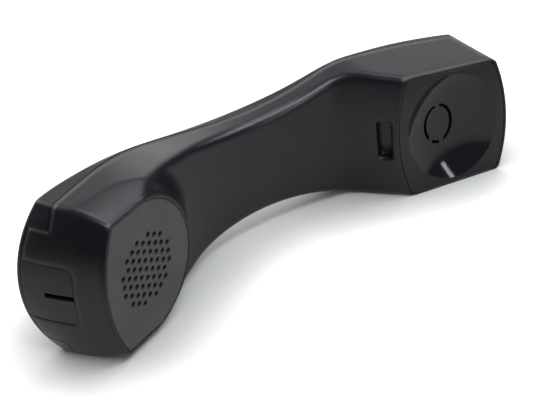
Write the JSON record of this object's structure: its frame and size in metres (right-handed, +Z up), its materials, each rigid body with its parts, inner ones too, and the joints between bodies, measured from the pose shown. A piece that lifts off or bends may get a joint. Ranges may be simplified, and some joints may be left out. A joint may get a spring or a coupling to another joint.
{
  "type": "telephone handset",
  "caption": "Black desk telephone handset lying on its side: arched grip between a round sound-hole mouth plate and a dished ear plate.",
  "frame": {"origin": "middle of the footprint's bounding box, on the surface that the handset lies on", "axes": "+X along the handset from the mouth end to the ear end, +Y from the face to the back, +Z up from the surface, across the handset's width"},
  "size_m": [0.2118, 0.054, 0.069],
  "materials": {
    "shell_plastic": "satin, fine moulded texture",
    "cover_plastic": "satin, fine moulded texture",
    "mouth_plastic": "matte",
    "ear_plastic": "polished",
    "panel_plastic": "satin",
    "screw_steel": "zinc plated",
    "cloth_black": "woven",
    "foam_black": "open foam",
    "boot_rubber": "matte",
    "capsule_aluminium": "drawn",
    "wire_red": "soft insulation",
    "wire_white": "soft insulation",
    "receiver_plastic": "moulded",
    "diaphragm_film": "clear film",
    "coil_copper": "wound wire",
    "magnet_nickel": "nickel plated",
    "magnet_steel": "zinc plated",
    "board_green": "solder mask",
    "tape_film": "adhesive tape",
    "ballast_steel": "sawn and tumbled",
    "jack_plastic": "moulded",
    "contact_gold": "gold flash"
  },
  "bodies": {
    "root": {"front_shell": "shell_plastic", "back_cover": "cover_plastic", "mouth_plate": "mouth_plastic", "ear_plate": "ear_plastic", "end_insert": "panel_plastic", "case_screws": "screw_steel", "board_screws": "screw_steel", "mouth_cloth": "cloth_black", "mic_foam": "foam_black", "mic_boot": "boot_rubber", "mic_capsule": "capsule_aluminium", "mic_wires": "wire_red", "ear_gasket": "foam_black", "receiver_cloth": "cloth_black", "receiver_front": "receiver_plastic", "receiver_basket": "receiver_plastic", "receiver_diaphragm": "diaphragm_film", "receiver_coil": "coil_copper", "receiver_pole": "magnet_steel", "receiver_magnet": "magnet_nickel", "receiver_yoke": "magnet_steel", "receiver_ring": "receiver_plastic", "receiver_board": "board_green", "receiver_wires": "wire_white", "wire_tape": "tape_film", "ballast_bar": "ballast_steel", "jack_housing": "jack_plastic", "jack_contacts": "contact_gold", "jack_board": "board_green"}
  },
  "joints": []
}
